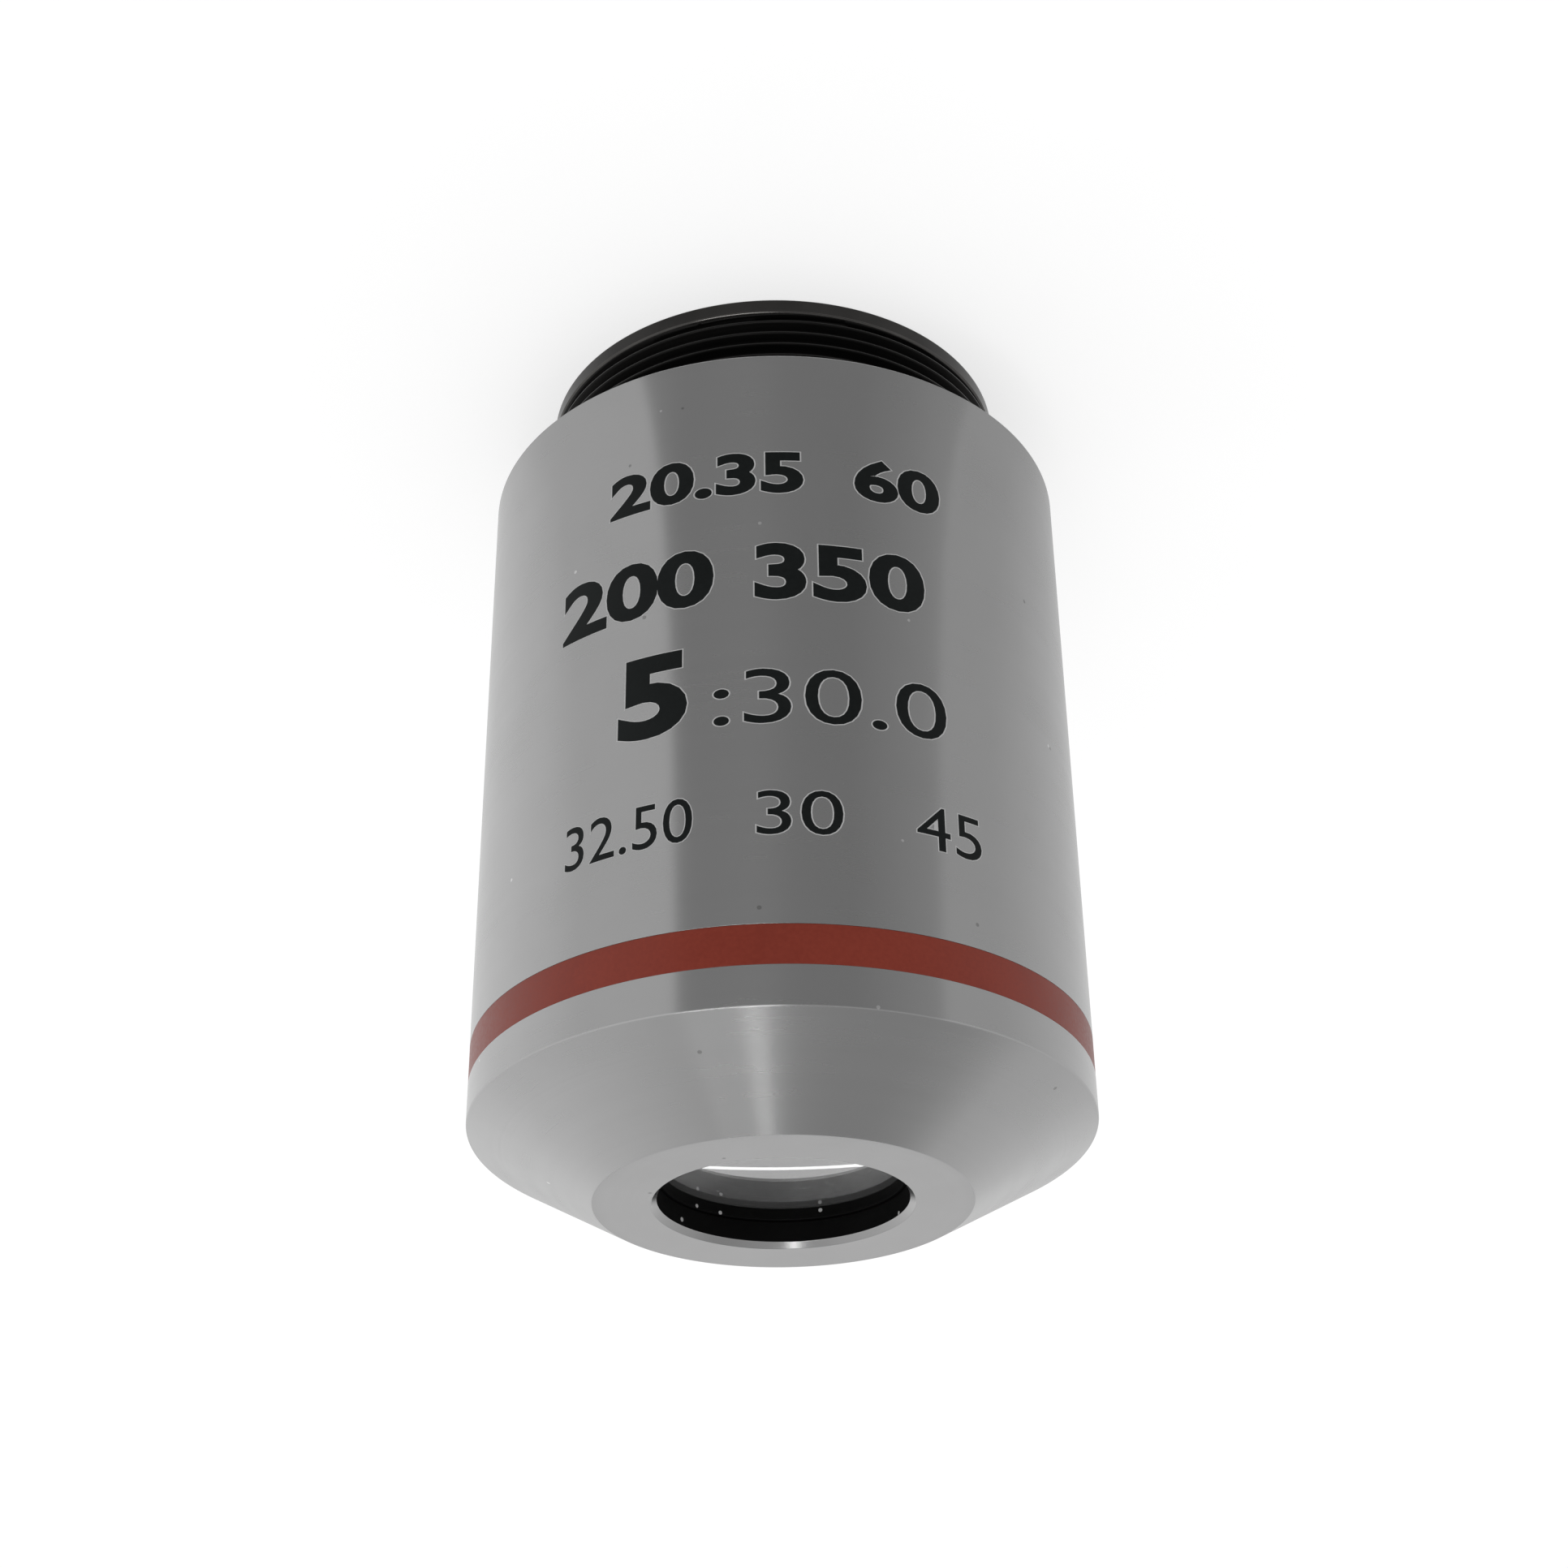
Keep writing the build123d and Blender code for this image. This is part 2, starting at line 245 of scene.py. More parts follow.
def turning(tree, per_metre, wander):
    """Coordinates whose noise runs in rings round the axis, as a lathe leaves it."""
    x, y, z = parts_of(tree, position_in(tree))
    flat = add(tree, "ShaderNodeCombineXYZ", {0: x, 1: y, 2: 0.0}).outputs[0]
    radius = add(tree, "ShaderNodeVectorMath", {0: flat}, operation="LENGTH").outputs["Value"]
    across = maths(tree, "MULTIPLY", radius, per_metre)
    along = maths(tree, "MULTIPLY", z, per_metre)
    drift = maths(tree, "MULTIPLY", maths(tree, "ADD", x, y), wander)
    return add(tree, "ShaderNodeCombineXYZ", {0: across, 1: along, 2: drift}).outputs[0]


def grey(value, warm=0.0):
    return (value * (1 + warm), value, value * (1 - warm), 1.0)


def bump(tree, shader, height, strength):
    relief = 0.01 * MM
    node = add(tree, "ShaderNodeBump", {"Strength": strength, "Distance": relief, "Height": height})
    tree.links.new(node.outputs[0], shader.inputs["Normal"])


def specks(tree, position, cells_per_metre, share, size):
    """One where a small spot of dirt lies, and zero elsewhere."""
    cells = add(tree, "ShaderNodeTexVoronoi", {"Vector": position, "Scale": cells_per_metre})
    draw = parts_of(tree, cells.outputs["Color"])["X"]
    chosen = maths(tree, "LESS_THAN", draw, share)
    inside = maths(tree, "LESS_THAN", cells.outputs["Distance"], size)
    return maths(tree, "MULTIPLY", chosen, inside)


# Materials

def satin_metal(name, base, roughness, grain, stretch):
    """Turned and satin chromed metal. The highlight stretches along the axis, across the lathe lines."""
    material, tree, shader = new_material(name)
    position = position_in(tree)
    fine = noise(tree, turning(tree, per_metre=8000.0, wander=1.0), scale=1.0, detail=1.0)
    broad = noise(tree, turning(tree, per_metre=1800.0, wander=4.0), scale=1.0, detail=2.0)
    cloud = noise(tree, position, scale=300.0, detail=4.0)
    tone = mix(tree, remap(tree, fine, 0.3, 0.7), grey(base * (1 - grain)), grey(base * (1 + grain)))
    tone = mix(tree, remap(tree, cloud, 0.4, 0.75, 0.0, 0.3), tone, grey(base * 0.93, 0.004))
    dark_spot = specks(tree, position, cells_per_metre=1100.0, share=0.02, size=0.12)
    tone = mix(tree, maths(tree, "MULTIPLY", dark_spot, 0.5), tone, grey(base * 0.35, 0.02))
    pale_spot = specks(tree, position, cells_per_metre=1400.0, share=0.012, size=0.13)
    tone = mix(tree, maths(tree, "MULTIPLY", pale_spot, 0.6), tone, grey(base * 1.8))
    tree.links.new(tone, shader.inputs["Base Color"])
    rough = remap(tree, broad, 0.3, 0.7, roughness - 0.01, roughness + 0.01)
    rough = maths(tree, "ADD", rough, remap(tree, cloud, 0.4, 0.8, 0.0, 0.02))
    tree.links.new(rough, shader.inputs["Roughness"])
    set_values(shader, Metallic=1.0, Anisotropic=stretch, Anisotropic_Rotation=0.25)
    around = add(tree, "ShaderNodeTangent", direction_type="RADIAL", axis="Z").outputs[0]
    tree.links.new(around, shader.inputs["Tangent"])
    bump(tree, shader, fine, strength=0.004)
    return material


def black_metal(name, base, warm, roughness, metallic, dust=0.0, gloss=0.5):
    """Blackened metal with lathe rings. dust is the share of cells that hold a pale speck."""
    material, tree, shader = new_material(name)
    position = position_in(tree)
    rings = noise(tree, turning(tree, per_metre=12000.0, wander=8.0), scale=1.0, detail=2.0)
    cloud = noise(tree, position, scale=420.0, detail=4.0)
    tone = mix(tree, remap(tree, cloud, 0.3, 0.7), grey(base * 0.85, warm), grey(base * 1.15, warm))
    if dust:
        speck = specks(tree, position, cells_per_metre=1600.0, share=dust, size=0.2)
        tone = mix(tree, speck, tone, grey(0.4))
    tree.links.new(tone, shader.inputs["Base Color"])
    rough = remap(tree, rings, 0.3, 0.7, roughness - 0.03, roughness + 0.04)
    tree.links.new(rough, shader.inputs["Roughness"])
    set_values(shader, Metallic=metallic, Specular_IOR_Level=gloss)
    bump(tree, shader, rings, strength=0.12)
    return material


def paint(name, colour, darker, roughness, gloss=0.5):
    """Enamel, printing ink or a pale halo of painted highlight, with a fine orange peel."""
    material, tree, shader = new_material(name)
    position = position_in(tree)
    fine = noise(tree, position, scale=5200.0, detail=2.0)
    cloud = noise(tree, position, scale=350.0, detail=3.0)
    blend = maths(tree, "MULTIPLY", maths(tree, "ADD", cloud, fine), 0.5)
    tone = mix(tree, remap(tree, blend, 0.35, 0.65), darker, colour)
    tree.links.new(tone, shader.inputs["Base Color"])
    rough = remap(tree, fine, 0.3, 0.7, roughness - 0.04, roughness + 0.04)
    tree.links.new(rough, shader.inputs["Roughness"])
    set_values(shader, Specular_IOR_Level=gloss)
    bump(tree, shader, fine, strength=0.15)
    return material


def optical_glass(name, index, coated=0.0, haze=0.0):
    """Polished glass under a faint film. haze is the share of light that the film scatters."""
    material, tree, shader = new_material(name)
    film = noise(tree, position_in(tree), scale=700.0, detail=3.0)
    clear = mix(tree, remap(tree, film, 0.3, 0.7), grey(1.0), grey(0.97))
    tree.links.new(clear, shader.inputs["Base Color"])
    set_values(shader, Roughness=0.0, Transmission_Weight=1.0 - haze, IOR=index)
    set_values(shader, Coat_Weight=coated, Coat_IOR=1.8, Coat_Roughness=0.004)
    return material


BARREL = satin_metal("satin_chrome", base=0.45, roughness=0.26, grain=0.008, stretch=1.0)
NOSE_FACE = satin_metal("satin_nose_face", base=0.365, roughness=0.2, grain=0.008, stretch=0.0)
SHIM = satin_metal("bright_steel", base=0.5, roughness=0.3, grain=0.04, stretch=0.6)
RED = paint("red_enamel", (0.235, 0.028, 0.012, 1.0), (0.205, 0.022, 0.009, 1.0), 0.38, gloss=0.4)
INK = paint("black_ink", (0.009, 0.011, 0.011, 1.0), (0.006, 0.0075, 0.0075, 1.0), 0.5, gloss=0.12)
# A pale grey halo under the numbers' ink: a painted highlight that stands for light on the letters' edges
PAINTED_HALO = paint("painted_highlight_halo", grey(0.5), grey(0.44), 0.5)
THREAD = black_metal("black_thread", base=0.011, warm=0.04, roughness=0.4, metallic=0.9)
THREAD_BAND = black_metal("black_end_band", base=0.03, warm=0.04, roughness=0.3, metallic=1.0)
THREAD_EDGE = black_metal("worn_end_edge", base=0.07, warm=0.04, roughness=0.16, metallic=1.0)
CELL = black_metal("black_cell", 0.003, warm=0.0, roughness=0.5, metallic=0.0, dust=0.06, gloss=0.06)
GLASS = optical_glass("lens_glass", index=1.6)
FRONT_GLASS = optical_glass("coated_front_glass", index=1.6, coated=1.0, haze=0.07)
FLINT = optical_glass("lens_flint", index=1.68)


# Barrel and nose, one turning

def make_sleeve():
    groove_r = BARREL_R - GROOVE_DEPTH
    hole_end = NOSE_Z - 1.35
    pocket_end = TUBE_END + 0.5
    corners = [
        (SLEEVE_MOUTH_R, SLEEVE_LOW, 0.03),
        (SKIN_R - EDGE_BREAK, SLEEVE_LOW, 0.02),
        (SKIN_R, SLEEVE_LOW + EDGE_BREAK, 0.04),
        (SKIN_R, BAND_LOW, 0.015),
        (groove_r, BAND_LOW, 0.01),
        (groove_r, BAND_HIGH, 0.01),
        (SKIN_R, BAND_HIGH, 0.015),
        (SKIN_R, CONE_Z, 0.12),
        (NOSE_R, NOSE_Z, 0.1),
        (MOUTH_R + MOUTH_CHAMFER, NOSE_Z, 0.04),
        (MOUTH_R, NOSE_Z - MOUTH_CHAMFER, 0.04),
        (MOUTH_R, hole_end, 0.03),
        (POCKET_R, hole_end, 0.05),
        (POCKET_R, pocket_end, 0.1),
        (SLEEVE_BORE_R, pocket_end, 0.1),
        (SLEEVE_BORE_R, FLANGE_HEIGHT, 0.05),
        (SLEEVE_MOUTH_R, FLANGE_HEIGHT, 0.03),
    ]
    sleeve = turned("sleeve_skin", corners, (BARREL, CELL, NOSE_FACE), segments=320, steps=5)
    hole_top = NOSE_Z - MOUTH_CHAMFER - 0.03
    use_material(sleeve, 1, lambda r, z: r < POCKET_R + 0.1 and z < hole_top)
    use_material(sleeve, 2, lambda r, z: r < NOSE_R - 0.02 and z >= hole_top)
    stand_for(sleeve, "outer_sleeve")


# Red enamel in its groove

def make_enamel_ring():
    gap = 0.005
    inside = BARREL_R - GROOVE_DEPTH
    outside = BARREL_R - 0.01
    corners = [
        (inside, BAND_LOW + gap, 0.01),
        (outside, BAND_LOW + gap, 0.03),
        (outside, BAND_HIGH - gap, 0.03),
        (inside, BAND_HIGH - gap, 0.01),
    ]
    stand_for(turned("enamel_ring", corners, (RED,), segments=320), "colour_band")


# Mount body with its cut thread

def thread_radius(z, phase):
    """Radius at a height and at a phase, which is whole on the middle of a crest."""
    run_in = 0.1
    run_out = 0.5
    heights = [THREAD_LOW, THREAD_LOW + run_in, THREAD_HIGH - run_out, THREAD_HIGH]
    blank = np.interp(z, heights, [THREAD_R - BAND_BREAK, THREAD_R, THREAD_R, RELIEF_R])
    off_crest = np.abs((phase + 0.5) % 1.0 - 0.5)
    cut = THREAD_R - THREAD_DEPTH * np.clip((off_crest - HALF_CREST) / FLANK, 0.0, 1.0)
    start = np.clip((z - THREAD_LOW) / run_in, 0.0, 1.0)
    return np.minimum(blank, blank + (cut - blank) * start)


def thread_skin(segments):
    """Vertices, faces and normals of the helical ridges.

    The steps are the phases of the rows across one turn, in order over the crest, flank, root and flank.
    """
    root = HALF_CREST + FLANK
    steps = [-HALF_CREST, 0.0, HALF_CREST, 0.12, 0.2, 0.3, root, 0.44, 0.56, 1 - root, 0.7, 0.8, 0.88]
    turns = range(-1, int((THREAD_HIGH - THREAD_LOW) / PITCH) + 2)
    phases = np.array([turn + step for turn in turns for step in steps])
    angle = np.arange(segments + 1) * 2 * math.pi / segments
    share = angle[None, :] / (2 * math.pi)
    z = np.clip(THREAD_LOW + PITCH * (phases[:, None] + share - 1.0), THREAD_LOW, THREAD_HIGH)
    turn = (z - THREAD_LOW) / PITCH - share
    r = thread_radius(z, turn)
    small = 0.004
    above = thread_radius(np.minimum(z + small, THREAD_HIGH), turn + small / PITCH)
    below = thread_radius(np.maximum(z - small, THREAD_LOW), turn - small / PITCH)
    slope = (above - below) / (2 * small)
    c, s = np.cos(angle)[None, :], np.sin(angle)[None, :]
    verts = np.stack([r * c, r * s, z], -1) * MM
    normals = np.stack([c + 0 * z, s + 0 * z, -slope], -1)
    normals /= np.linalg.norm(normals, axis=-1, keepdims=True)
    faces = []
    width = segments + 1
    for i in range(len(phases) - 1):
        for k in range(segments):
            if z[i, k] < z[i + 1, k] or z[i, k + 1] < z[i + 1, k + 1]:
                a = i * width + k
                faces.append((a, a + 1, a + width + 1, a + width))
    return verts.reshape(-1, 3), faces, normals.reshape(-1, 3)


def make_mount():
    tube_r = 13.5
    tube_bore_r = 12.4
    ledge_z = 2.0
    recess_z = 0.2
    recess_r = THREAD_R + 0.05
    bore_chamfer = 0.25
    rim_break = 0.1
    corners = [
        (RELIEF_R, THREAD_HIGH, 0.0),
        (RELIEF_R, recess_z, 0.05),
        (recess_r, recess_z, 0.03),
        (recess_r, 0.0, 0.03),
        (FLANGE_R, 0.0, 0.06),
        (FLANGE_R, FLANGE_HEIGHT, 0.06),
        (tube_r, FLANGE_HEIGHT, 0.06),
        (tube_r, TUBE_END, 0.06),
        (tube_bore_r, TUBE_END, 0.06),
        (tube_bore_r, ledge_z, 0.06),
        (REAR_BORE_R, ledge_z, 0.06),
        (REAR_BORE_R, THREAD_END + bore_chamfer, 0.06),
        (REAR_BORE_R + bore_chamfer, THREAD_END, 0.05),
        (THREAD_R - rim_break, THREAD_END, 0.04),
        (THREAD_R, THREAD_END + rim_break, 0.04),
        (THREAD_R, THREAD_LOW - BAND_BREAK, 0.08),
        (THREAD_R - BAND_BREAK, THREAD_LOW, 0.0),
    ]
    steps = 4
    rows = section(corners, steps)[steps:-steps]
    # The two end rows meet the ridges, with normals that are given here
    rows[0] = (RELIEF_R, THREAD_HIGH, 1.0, 0.0)
    rows[-1] = (THREAD_R - BAND_BREAK, THREAD_LOW, 0.5, 0.866)
    segments = 360
    verts, faces, normals = revolve_rows(rows, segments, closed=False)
    ridge_verts, ridge_faces, ridge_normals = thread_skin(segments)
    faces += [tuple(i + len(verts) for i in face) for face in ridge_faces]
    verts = np.concatenate([verts, ridge_verts])
    normals = np.concatenate([normals, ridge_normals])
    mount = mesh_object("mount_skin", verts, faces, normals, (THREAD, THREAD_BAND, THREAD_EDGE))
    band_r = THREAD_R - 0.3
    edge_low = THREAD_LOW - 1.5 * BAND_BREAK
    use_material(mount, 1, lambda r, z: r > band_r and z < THREAD_LOW)
    use_material(mount, 2, lambda r, z: r > band_r and edge_low < z < THREAD_LOW)
    stand_for(mount, "mount_body")


# Front cell and front lens

def make_front_cell():
    flange_top = CELL_LOW + 2.4
    flange_break = 0.15
    neck_r = 10.17
    neck_top = TUBE_END + 0.4
    stem_r = POCKET_R - 0.1
    lens_seat_r = LENS_R + 0.02
    lens_thread_r = 6.94
    doublet_window_r = 7.77
    doublet_window_top = neck_top - 0.2
    doublet_seat_r = 8.39
    doublet_seat_top = neck_top - 0.8
    ring_thread_r = 8.71
    ring_thread_top = CELL_LOW + 1.2
    corners = [
        (CELL_R - flange_break, CELL_LOW, 0.03),
        (CELL_R, CELL_LOW + flange_break, 0.03),
        (CELL_R, flange_top - flange_break, 0.03),
        (CELL_R - flange_break, flange_top, 0.03),
        (neck_r, flange_top, 0.05),
        (neck_r, neck_top, 0.05),
        (stem_r, neck_top, 0.05),
        (stem_r, CELL_HIGH - flange_break, 0.03),
        (stem_r - flange_break, CELL_HIGH, 0.03),
        (LENS_CLEAR_R, CELL_HIGH, 0.04),
        (LENS_CLEAR_R, LENS_FRONT, 0.03),
        (lens_seat_r, LENS_FRONT, 0.02),
        (lens_seat_r, LENS_REAR, 0.02),
        (lens_thread_r, LENS_REAR, 0.02),
        (lens_thread_r, doublet_window_top, 0.03),
        (doublet_window_r, doublet_window_top, 0.03),
        (doublet_window_r, doublet_seat_top, 0.03),
        (doublet_seat_r, doublet_seat_top, 0.03),
        (doublet_seat_r, ring_thread_top, 0.03),
        (ring_thread_r, ring_thread_top, 0.03),
        (ring_thread_r, CELL_LOW, 0.03),
    ]
    stand_for(turned("front_cell_skin", corners, (CELL,)), "front_cell")


def lens_face(rim, rise, up, flat_r, rings=40):
    """Rows of a spherical face and the flat round it, from the axis outwards. up is 1 for the front."""
    ball = (LENS_CLEAR_R * LENS_CLEAR_R + rise * rise) / (2 * rise)
    rows = []
    for k in range(rings + 1):
        r = LENS_CLEAR_R * k / rings
        drop = ball - math.sqrt(ball * ball - r * r)
        rows.append((r, rim + up * (rise - drop), r / ball, up * math.sqrt(1 - (r / ball) ** 2)))
    return rows + [(LENS_CLEAR_R, rim, 0.0, up), (flat_r, rim, 0.0, up)]


def make_front_lens():
    bevel = 0.06
    flat_r = LENS_R - bevel
    rear_rows = lens_face(LENS_REAR, LENS_REAR_RISE, -1.0, flat_r)
    front_rows = lens_face(LENS_FRONT, LENS_FRONT_RISE, 1.0, flat_r)
    side_rows = [
        (flat_r, LENS_REAR, 0.0, -1.0),
        (LENS_R, LENS_REAR + bevel, 1.0, 0.0),
        (LENS_R, LENS_FRONT - bevel, 1.0, 0.0),
        (flat_r, LENS_FRONT, 0.0, 1.0),
    ]
    obj = mesh_object("front_lens_glass", [], [], None, (FRONT_GLASS,))
    mesh = obj.data
    bm = bmesh.new()
    for rows in (rear_rows, side_rows, front_rows[::-1]):
        verts, faces = revolve_rows(rows, 192, closed=False)[:2]
        made = [bm.verts.new(v) for v in verts]
        for face in faces:
            bm.faces.new([made[i] for i in face])
    bmesh.ops.remove_doubles(bm, verts=bm.verts, dist=1e-8)
    bmesh.ops.dissolve_degenerate(bm, edges=bm.edges, dist=1e-9)
    bmesh.ops.recalc_face_normals(bm, faces=bm.faces)
    bm.to_mesh(mesh)
    bm.free()
    shade_smooth(mesh)
    mesh.set_sharp_from_angle(angle=math.radians(20))
    stand_for(obj, "front_lens")


def finish_inner_nodes():
    """The inner pieces keep their solids and get a procedural material each."""
    redrawn = ("outer_sleeve", "colour_band", "mount_body", "front_cell", "front_lens")
    lens_words = {"flint": FLINT, "concave": FLINT, "crown": GLASS, "meniscus": GLASS, "rear_lens": GLASS}
    for node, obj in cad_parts.items():
        if node in redrawn:
            continue
        finish = SHIM if node == "parfocal_shim" else CELL
        for word, glass in lens_words.items():
            if word in node and not node.endswith("ring"):
                finish = glass
        obj.data.materials.clear()
        obj.data.materials.append(finish)


# Printed numbers, which stand where the real barrel has its words

# A group of numbers: its first and last arc from the front towards the picture's right, and its foot and
# height, all in mm, with the weight that is added to the strokes as a share of the type's size
Group = namedtuple("Group", "text first last foot height weight")
GROUPS = (
    Group("20.35", -8.5, 1.3, 8.7, 2.3, 0.035),
    Group("60", 4.2, 8.6, 8.7, 2.3, 0.035),
    Group("200", -11.4, -3.2, 14.95, 3.0, 0.035),
    Group("350", -0.8, 7.4, 14.95, 3.0, 0.035),
    Group("5", -7.6, -4.6, 21.8, 4.1, 0.04),
    Group(":30.0", -3.0, 8.5, 22.0, 3.0, 0.0),
    Group("32.50", -10.9, -4.0, 27.9, 2.3, 0.0),
    Group("30", -1.0, 3.0, 27.9, 2.3, 0.0),
    Group("45", 6.6, 10.2, 27.9, 2.3, 0.0),
)
BEND_STEP = 0.3


def number_mesh(text, weight):
    """Flat numbers as a thin solid, in the type's own size."""
    curve = bpy.data.curves.new("numbers", "FONT")
    curve.body = text
    curve.size = 1.0
    curve.resolution_u = 5
    curve.offset = weight
    curve.extrude = 0.5
    obj = bpy.data.objects.new("numbers", curve)
    mesh = bpy.data.meshes.new_from_object(obj)
    bpy.data.objects.remove(obj)
    return mesh


def add_group(bm, group, rim, outside):
    """Add one group, bent round the barrel, with its strokes wider by rim and its top at a radius."""
    corners = np.array([v.co for v in number_mesh(group.text, 0.0).vertices])
    low, high = corners.min(0), corners.max(0)
    across = (group.last - group.first) / (high[0] - low[0])
    tall = group.height / (high[1] - low[1])
    part = bmesh.new()
    part.from_mesh(number_mesh(group.text, group.weight + rim / tall))
    for v in part.verts:
        x, y, w = v.co
        v.co = (group.first + (x - low[0]) * across, (y - low[1]) * tall, w)
    arc = group.first
    while arc < group.last:
        everything = list(part.verts) + list(part.edges) + list(part.faces)
        bmesh.ops.bisect_plane(part, geom=everything, plane_co=(arc, 0, 0), plane_no=(1, 0, 0))
        arc += BEND_STEP
    sunk = SKIN_R - 0.01
    for v in part.verts:
        x, y, w = v.co
        r = (outside if w > 0 else sunk) * MM
        a = x / BARREL_R
        v.co = (-r * math.sin(a), -r * math.cos(a), (group.foot - y) * MM)
    piece = bpy.data.meshes.new("numbers")
    part.to_mesh(piece)
    part.free()
    bm.from_mesh(piece)


def make_numbers(name, material, rim, outside):
    bm = bmesh.new()
    for group in GROUPS:
        add_group(bm, group, rim, outside)
    obj = mesh_object(name, [], [], None, (material,))
    mesh = obj.data
    bm.to_mesh(mesh)
    bm.free()
    shade_smooth(mesh)
    normals = [Vector((v.co.x, v.co.y, 0.0)).normalized() for v in mesh.vertices]
    mesh.normals_split_custom_set_from_vertices(normals)
    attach(obj, "root")


make_sleeve()
make_enamel_ring()
make_mount()
make_front_cell()
make_front_lens()
finish_inner_nodes()
# The pale outline round the numbers is a painted highlight, drawn as a grey shell a little wider than the
# ink
make_numbers("number_painted_halos", PAINTED_HALO, rim=0.05, outside=BARREL_R - 0.003)
make_numbers("numbers", INK, rim=0.0, outside=BARREL_R - 0.0005)


# Floor

def make_floor():
    material, tree, shader = new_material("pale_floor")
    set_values(shader, Roughness=0.9, Specular_IOR_Level=0.1, Emission_Color=grey(1.0))
    tone = mix(tree, noise(tree, position_in(tree), scale=60.0, detail=2.0), grey(0.34), grey(0.36))
    tree.links.new(tone, shader.inputs["Base Color"])
    path = add(tree, "ShaderNodeLightPath").outputs
    seen = maths(tree, "MAXIMUM", path["Is Camera Ray"], path["Is Glossy Ray"])
    seen = maths(tree, "MAXIMUM", seen, path["Is Transmission Ray"])
    tree.links.new(maths(tree, "MULTIPLY", seen, 0.67), shader.inputs["Emission Strength"])
    reach = 3.0
    z = THREAD_END * MM
    corners = [(-reach, -reach, z), (reach, -reach, z), (reach, reach, z), (-reach, reach, z)]
    mesh_object("floor", corners, [(0, 1, 2, 3)], None, (material,))


# Grey cards round the object, which only its shiny surfaces see

# Azimuth in degrees from the front towards the picture's right, and the card's brightness there
CARDS = (
    (-180, 0.55), (-170, 0.9), (-158, 1.0), (-110, 0.92), (-86, 0.82), (-72, 0.70), (-36, 0.66),
    (-33.5, 0.31), (25, 0.31), (47, 0.40), (55, 0.42), (57, 0.55), (79, 0.56), (102, 0.68),
    (127, 0.80), (160, 0.95), (170, 0.9), (180, 0.55),
)
DARK_CARD = (-34, 56)
CARD_STEP = 2


def card_material():
    material = bpy.data.materials.new("grey_cards")
    material.use_nodes = True
    tree = material.node_tree
    tree.nodes.clear()
    parts = parts_of(tree, position_in(tree))
    to_right = maths(tree, "MULTIPLY", parts["X"], -1.0)
    to_front = maths(tree, "MULTIPLY", parts["Y"], -1.0)
    azimuth = maths(tree, "ARCTAN2", to_right, to_front)
    ramp = add(tree, "ShaderNodeValToRGB", {0: remap(tree, azimuth, -math.pi, math.pi)})
    stops = ramp.color_ramp.elements
    while len(stops) < len(CARDS):
        stops.new(0.5)
    for stop, (degrees, level) in zip(stops, CARDS):
        stop.position = (degrees + 180) / 360
    for stop, (degrees, level) in zip(stops, CARDS):
        stop.color = grey(level)
    glow = add(tree, "ShaderNodeEmission", {"Color": ramp.outputs[0]})
    out = add(tree, "ShaderNodeOutputMaterial")
    tree.links.new(glow.outputs[0], out.inputs[0])
    return material


def card_wall(name, rows, first, last, material):
    """A wall whose section rows (radius, height) in mm are swept between two azimuths in degrees."""
    count = (last - first) // CARD_STEP + 1
    verts = []
    for i in range(count):
        a = math.radians(first + i * CARD_STEP)
        for r, z in rows:
            verts.append((-r * MM * math.sin(a), -r * MM * math.cos(a), z * MM))
    faces = []
    width = len(rows)
    for i in range(count - 1):
        for k in range(width - 1):
            a = i * width + k
            faces.append((a, a + 1, a + width + 1, a + width))
    obj = mesh_object(name, verts, faces, None, (material,))
    obj.visible_camera = False
    obj.visible_diffuse = False
    obj.visible_transmission = False
    obj.visible_shadow = False


def make_cards():
    material = card_material()
    over_floor = THREAD_END + 0.5
    inner_r, bend_r, outer_r = 16, 300, 350
    low_top, dark_top = 60, 250
    low_rows = ((inner_r, over_floor), (bend_r, over_floor), (outer_r, low_top))
    card_wall("low_cards", low_rows, -180, 180, material)
    card_wall("dark_card", ((outer_r, low_top), (outer_r, dark_top)), *DARK_CARD, material)


# Room and lamps

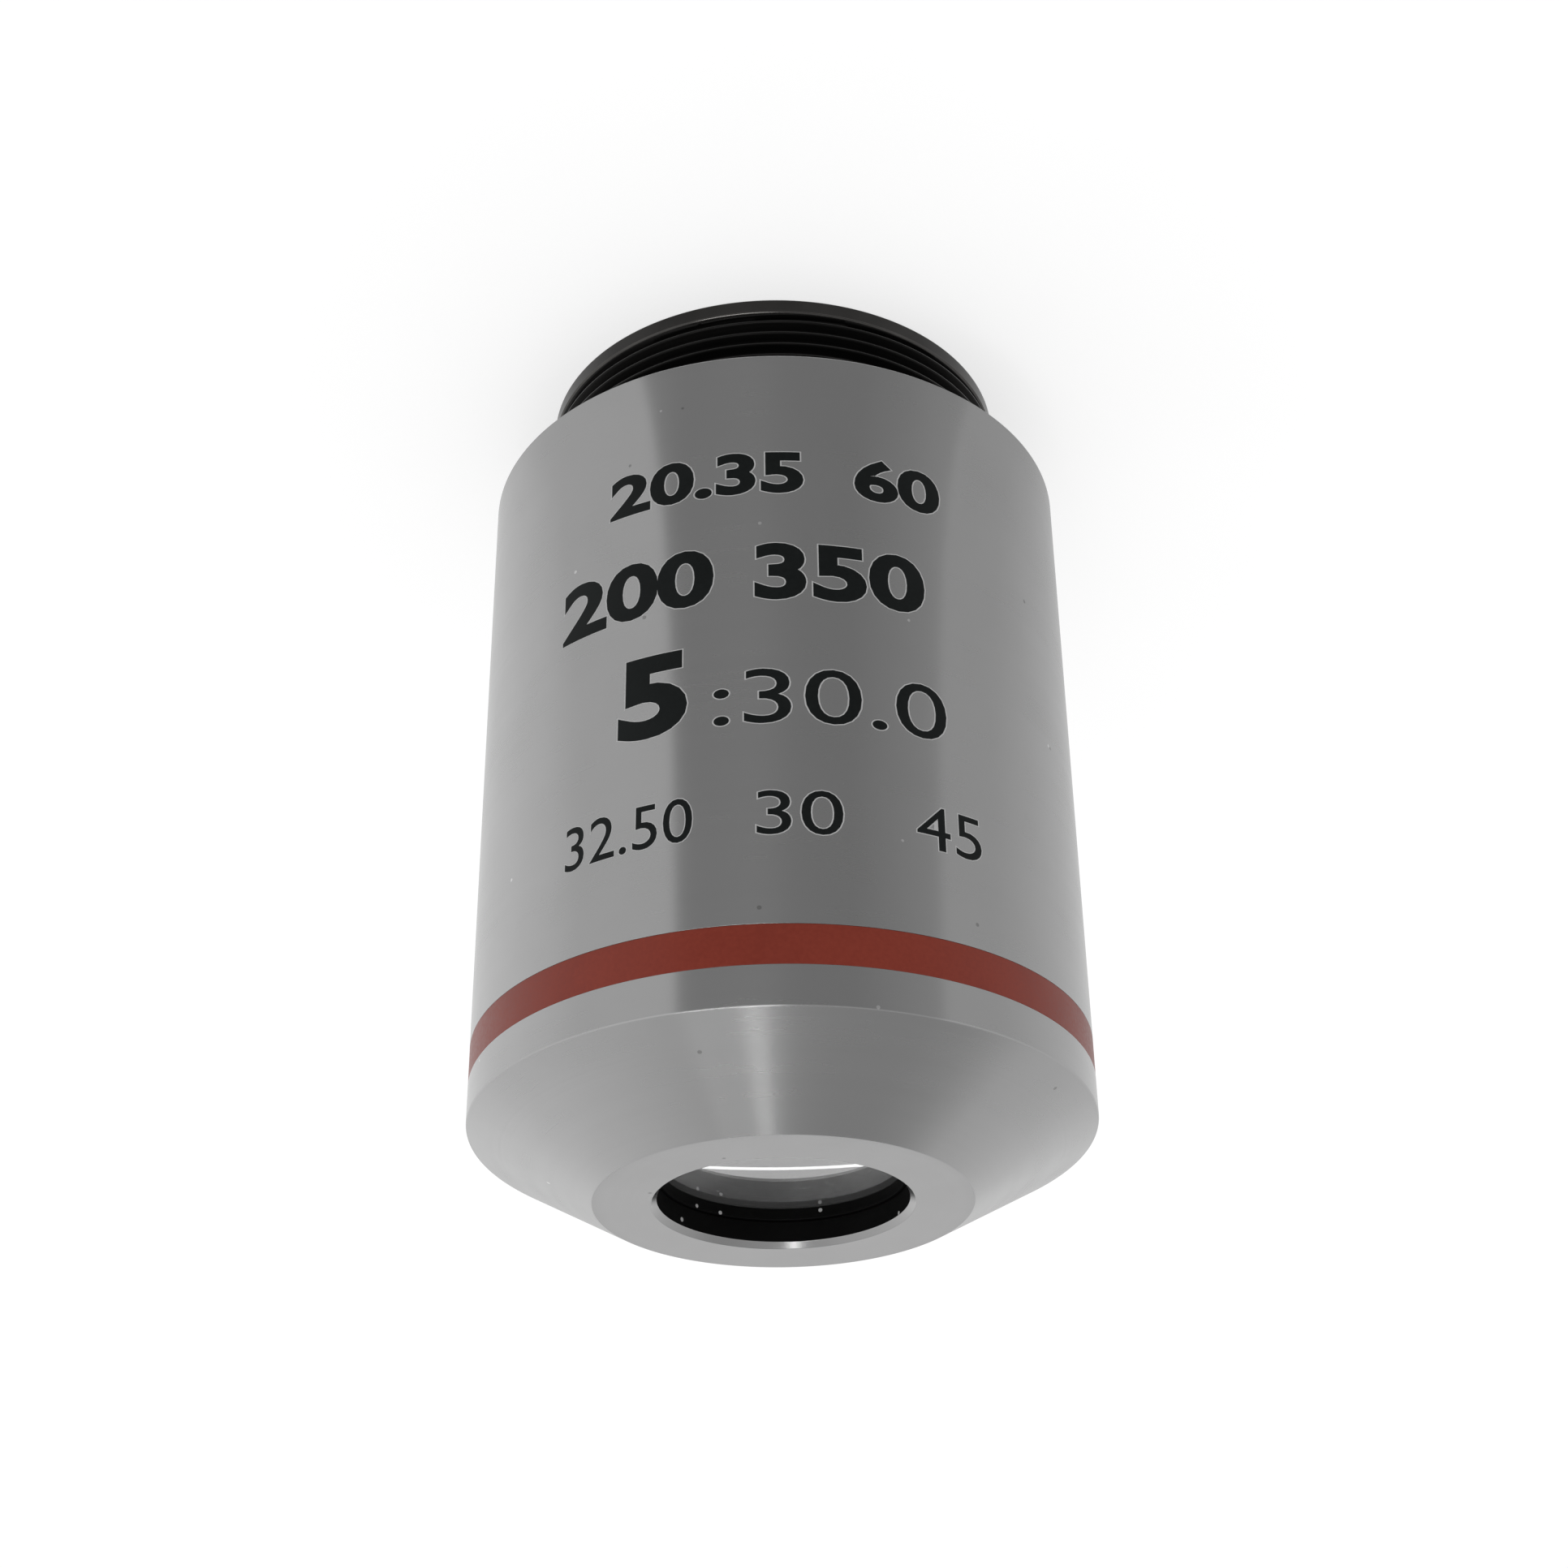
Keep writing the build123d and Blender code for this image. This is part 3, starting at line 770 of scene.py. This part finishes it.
def make_world():
    """A pale sky. In the mirror it falls off upwards, is brighter to the left and has a dim patch."""
    world = bpy.data.worlds.new("studio")
    bpy.context.scene.world = world
    world.use_nodes = True
    tree = world.node_tree
    tree.nodes.clear()
    direction = add(tree, "ShaderNodeTexCoord").outputs["Generated"]
    parts = parts_of(tree, direction)
    level = remap(tree, parts["Z"], 0.0, 1.0, 0.92, 0.55)
    level = maths(tree, "MULTIPLY", level, remap(tree, parts["X"], 0.25, 0.5, 1.0, 1.25))
    dim_middle = (-0.307, 0.215, 0.927)
    nearness = add(tree, "ShaderNodeVectorMath", {0: direction, 1: dim_middle}, operation="DOT_PRODUCT")
    dim = remap(tree, nearness.outputs["Value"], 0.9, 0.975, 1.0, 0.55)
    level = maths(tree, "MULTIPLY", level, dim)
    path = add(tree, "ShaderNodeLightPath").outputs
    shiny = maths(tree, "MAXIMUM", path["Is Glossy Ray"], path["Is Transmission Ray"])
    level = mix(tree, shiny, grey(0.95), level)
    level = mix(tree, path["Is Camera Ray"], level, grey(1.0))
    background = add(tree, "ShaderNodeBackground", {"Color": level, "Strength": 1.0})
    out = add(tree, "ShaderNodeOutputWorld")
    tree.links.new(background.outputs[0], out.inputs[0])


def lamp(name, where, target, width, length, watts):
    """A panel that faces a target and that the camera doesn't see. Places and sizes are in metres."""
    light = bpy.data.lights.new(name, "AREA")
    light.shape = "RECTANGLE"
    light.size = width
    light.size_y = length
    light.energy = watts
    obj = link(bpy.data.objects.new(name, light))
    obj.location = where
    obj.rotation_mode = "QUATERNION"
    obj.rotation_quaternion = (Vector(target) - Vector(where)).to_track_quat("-Z", "Y")
    obj.visible_camera = False


def make_lamps():
    shoulder = (0.0, 0.0, 0.0)
    nose = (0.0, 0.0, NOSE_Z * MM)
    lamp("narrow_panel", (0.065, -0.296, 0.744), nose, width=0.018, length=0.16, watts=0.06)
    lamp("wide_panel", (0.1, -0.296, 0.744), nose, width=0.04, length=0.16, watts=0.1)
    lamp("side_panel", (0.132, -0.362, 0.455), shoulder, width=0.3, length=0.06, watts=0.4)
    lamp("back_strip", (0.0, 0.56, 0.253), nose, width=0.13, length=0.006, watts=0.0045)


# Camera, fitted to the photograph's edges

def make_camera():
    """It looks down on the nose, and is rolled by nearly half a turn. Its place is in metres."""
    frame_pixels = 1932.0
    focal_pixels = 3055.9
    sensor = 36.0
    place = (0.0, -0.11474, 0.08144)
    turn, tilt, roll = math.radians(0.1604), math.radians(60.4984), math.radians(179.1577)
    camera = link(bpy.data.objects.new("camera", bpy.data.cameras.new("camera")))
    rolled = Matrix.Rotation(roll, 4, "Z")
    tilted = Matrix.Rotation(tilt, 4, "X") @ rolled
    camera.matrix_world = Matrix.Translation(place) @ Matrix.Rotation(turn, 4, "Z") @ tilted
    camera.data.sensor_fit = "HORIZONTAL"
    camera.data.sensor_width = sensor
    camera.data.lens = sensor * focal_pixels / frame_pixels
    camera.data.clip_start = 0.005
    camera.data.clip_end = 20.0
    bpy.context.scene.camera = camera


make_floor()
make_cards()
make_world()
make_lamps()
make_camera()
bpy.context.scene.view_settings.view_transform = "Standard"
